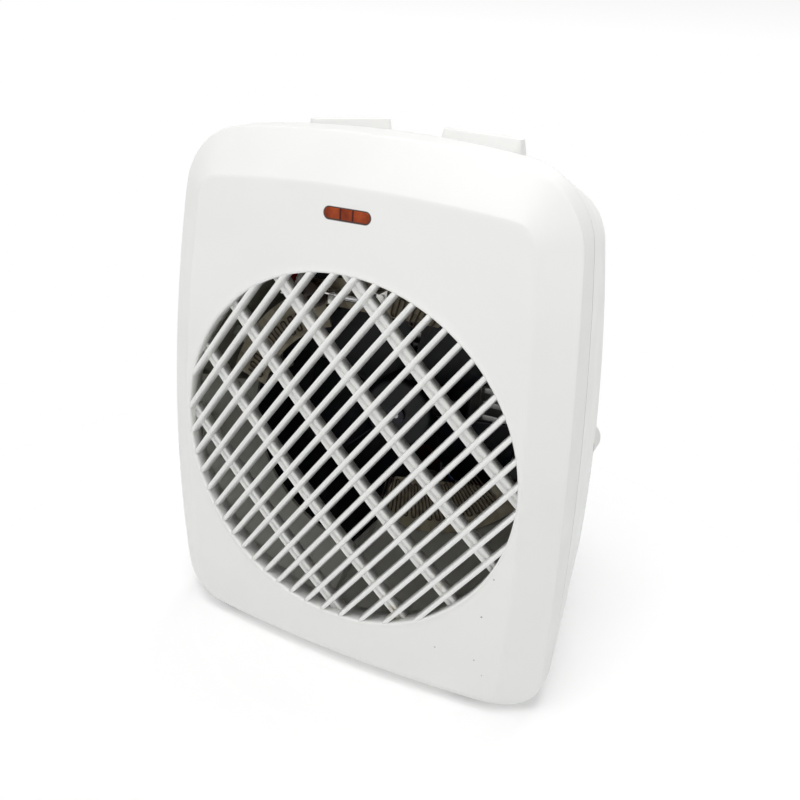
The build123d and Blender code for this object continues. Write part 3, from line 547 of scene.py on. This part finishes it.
def dress():
    """Gives every carried-over CAD node its material, and returns those of the shell and the ribs."""
    steel = metal("zinc_steel", (0.55, 0.55, 0.53))
    bright = metal("bright_steel", (0.72, 0.72, 0.72), 0.22)
    nichrome = metal("nichrome", (0.10, 0.075, 0.06), 0.45, (8, 8, 8), 0.6)
    tin = metal("tinned_tab", (0.78, 0.77, 0.74), 0.25)
    casing = plastic("casing_white", WHITE, 0.36, 0.012, 1500.0, 0.10, specks=True)
    knob = plastic("knob_white", (0.83, 0.83, 0.815), 0.34, 0.01, 1700.0, 0.07, specks=True)
    duct = duct_material()
    black = plastic("housing_black", BLACK, 0.5, 0.25, 1100.0, 0.15)
    fan = plastic("fan_black", (0.005, 0.006, 0.009), 0.38, 0.2, 1300.0, 0.06)
    mica = mica_material()
    phenolic = plastic("phenolic", (0.05, 0.032, 0.025), 0.35, 0.2)
    nylon = plastic("natural_nylon", (0.62, 0.6, 0.53), 0.45, 0.04)
    looks = {
        casing: ["rear_cover"],
        knob: ["thermostat_knob", "selector_knob"],
        duct: ["air_duct", "lamp_holder"],
        black: ["fan_housing"],
        fan: ["impeller"],
        mica: ["upper_mica", "lower_mica"],
        nichrome: ["low_heat_wire", "high_heat_wire"],
        metal("blackened_steel", (0.06, 0.06, 0.07), 0.5): ["impeller_clip"],
        steel: ["front_motor_bracket", "rear_motor_bracket", "motor_spacers",
                "motor_screws", "mica_clips", "control_screws", "block_screws", "case_screws",
                "duct_screws", "housing_screws"],
        bright: ["motor_shaft", "thermal_fuse"],
        tin: ["heater_terminals", "thermostat_tabs", "selector_tabs"],
        phenolic: ["thermostat", "selector_switch", "thermal_cutout"],
        nylon: ["thermostat_spindle", "selector_spindle", "coil_bobbin"],
        stacked_steel(): ["motor_stack"],
        wound_copper(): ["motor_coil"],
        metal("sintered_bush", (0.45, 0.3, 0.17), 0.5, (3, 3, 3)): ["motor_bushes"],
        metal("cast_rotor", (0.5, 0.5, 0.5), 0.4, (1, 6, 1)): ["rotor"],
        plastic("foot_rubber", (0.05, 0.05, 0.05), 0.75, 0.2, 700.0, 0.3): ["feet"],
        plastic("gland_white", (0.72, 0.72, 0.70), 0.45, 0.03): ["cord_gland", "terminal_block"],
        glass_material(): ["neon_lamp"],
        lens_material(): ["indicator_lens"],
        plastic("lead_brown", (0.09, 0.04, 0.02), 0.45, 0.1): ["brown_leads"],
        plastic("lead_red", (0.35, 0.02, 0.015), 0.45, 0.1): ["red_leads"],
        plastic("lead_white", (0.6, 0.6, 0.56), 0.45, 0.06): ["white_leads"],
        plastic("lead_blue", (0.02, 0.07, 0.3), 0.45, 0.1): ["blue_leads"],
    }
    for material, nodes in looks.items():
        for node in nodes:
            mesh = frame["nodes"][node].data
            mesh.materials.clear()
            mesh.materials.append(material)
    # The shell's plastic, and a brighter copy of it for the ribs with painted light.
    return [
        plastic(name, color, 0.36, 0.012, 1500.0, 0.10, specks=True, marks_and_lens_shadow=True)
        for name, color in (("front_white", WHITE), ("rib_white_painted_light", RIB_PAINTED_LIGHT))
    ]


# ---- Studio ----
FLOOR_SIZE = 12.0
FLOOR_FADE = (0.10, 0.30)       # metres from the floor's middle between which it fades out
FLOOR_CLEAR = 0.30              # how far the floor is faded out already under the heater
SKY = 0.15                      # brightness of the surroundings overhead
SKY_START = 0.45                # how high, from 0 to 1, they have dimmed to that
# Soft lights: direction from the heater and power in watts.
LIGHTS = {
    "top": ((0.0, 0.0, 1.0), 8.8),
    "top_front": ((0.0, -0.4, 0.9), 13.4),
    "back": ((0.0, 0.7, 0.7), 5.0),
    "right_front": ((0.8, -0.6, 0.2), 1.3),
}
AIM = Vector((0, 0, 0.12))
LIGHT_WIDTH = 0.9
LIGHT_DISTANCE = 1.5
# Camera at the photograph's viewpoint: place (mm), azimuth, elevation and roll (degrees), and lens.
CAMERA_PLACE = (165.7, -289.5, 172.3)
CAMERA_ANGLES = (25.63, 24.78, 3.589)
CAMERA_LENS = 39.77
CAMERA_SHIFT = (0.0097, 0.032)


def build_world():
    """White below and near the horizon, dim overhead."""
    world = bpy.data.worlds.new("studio")
    world.use_nodes = True
    tree = world.node_tree
    coords = tree.nodes.new("ShaderNodeTexCoord")
    split = tree.nodes.new("ShaderNodeSeparateXYZ")
    fade = tree.nodes.new("ShaderNodeMapRange")
    for index, value in enumerate((0.0, SKY_START, 1.0, SKY)):
        fade.inputs[index + 1].default_value = value
    background = tree.nodes["Background"]
    background.inputs["Color"].default_value = (1.0, 1.0, 1.0, 1.0)
    tree.links.new(coords.outputs["Generated"], split.inputs[0])
    tree.links.new(split.outputs["Z"], fade.inputs[0])
    tree.links.new(fade.outputs[0], background.inputs["Strength"])
    bpy.context.scene.world = world


def build_floor():
    """White sheet that fades out away from the heater, into the white surroundings."""
    corners = [(x * FLOOR_SIZE, y * FLOOR_SIZE, 0) for x, y in ((-1, -1), (1, -1), (1, 1), (-1, 1))]
    floor = make_mesh("floor", corners, [(0, 1, 2, 3)], body=None, smooth=False)
    m = Maker("floor_paint", 0.9)
    m.color(m.ramp(m.noise(3.0, 3.0), [(0.3, (0.96, 0.96, 0.96)), (0.7, (0.97, 0.97, 0.97))]))
    m.bsdf.inputs["Specular IOR Level"].default_value = 0.1
    distance = m.node("ShaderNodeVectorMath", operation="LENGTH")
    m.link(m.coords, distance.inputs[0])
    fade = m.remap(distance.outputs["Value"], *FLOOR_FADE, FLOOR_CLEAR, 1.0)
    clear = m.node("ShaderNodeBsdfTransparent")
    blend = m.node("ShaderNodeMixShader")
    m.link(fade, blend.inputs[0])
    m.link(m.bsdf.outputs[0], blend.inputs[1])
    m.link(clear.outputs[0], blend.inputs[2])
    m.link(blend.outputs[0], m.tree.nodes["Material Output"].inputs["Surface"])
    floor.data.materials.append(m.mat)


def build_lights():
    for name, (direction, power) in LIGHTS.items():
        light = bpy.data.lights.new(name, "AREA")
        light.energy = power
        light.size = LIGHT_WIDTH
        lamp = bpy.data.objects.new(name, light)
        lamp.location = Vector(direction).normalized() * LIGHT_DISTANCE + AIM
        lamp.rotation_euler = (AIM - lamp.location).to_track_quat("-Z", "Y").to_euler()
        bpy.context.scene.collection.objects.link(lamp)


def build_studio():
    build_world()
    build_floor()
    build_lights()
    bpy.context.scene.view_settings.view_transform = "Standard"


def build_camera():
    """Three-quarter view from the front, above and to the right, with a slight roll."""
    azimuth, elevation, roll = (radians(a) for a in CAMERA_ANGLES)
    back = Vector((sin(azimuth) * cos(elevation), -cos(azimuth) * cos(elevation), sin(elevation)))
    right = (-back).cross(Vector((0, 0, 1))).normalized()
    up = right.cross(-back)
    rows = (cos(roll) * right + sin(roll) * up, -sin(roll) * right + cos(roll) * up, back)
    camera = bpy.data.cameras.new("camera")
    camera.sensor_width = 36.0
    camera.lens = CAMERA_LENS
    camera.shift_x, camera.shift_y = CAMERA_SHIFT
    obj = bpy.data.objects.new("camera", camera)
    turn = Matrix(rows).transposed().to_4x4()
    obj.matrix_world = Matrix.Translation(place(*CAMERA_PLACE)) @ turn
    bpy.context.scene.collection.objects.link(obj)
    bpy.context.scene.camera = obj


front_material, rib_material = dress()
shell = build_front_shell()
bar_places = [BAR_SHIFT + BAR_PITCH * (k - BAR_COUNT // 2) for k in range(BAR_COUNT)]
rib_places = [RIB_PITCH * (k - RIB_COUNT // 2) for k in range(RIB_COUNT)]
bars = strip_mesh("grille_bars", BAR_ANGLE, bar_places, bar_profile())
ribs = strip_mesh("grille_ribs", RIB_ANGLE, rib_places, rib_profile())
for piece, material in ((shell, front_material), (bars, front_material), (ribs, rib_material)):
    piece.data.materials.append(material)
build_studio()
build_camera()
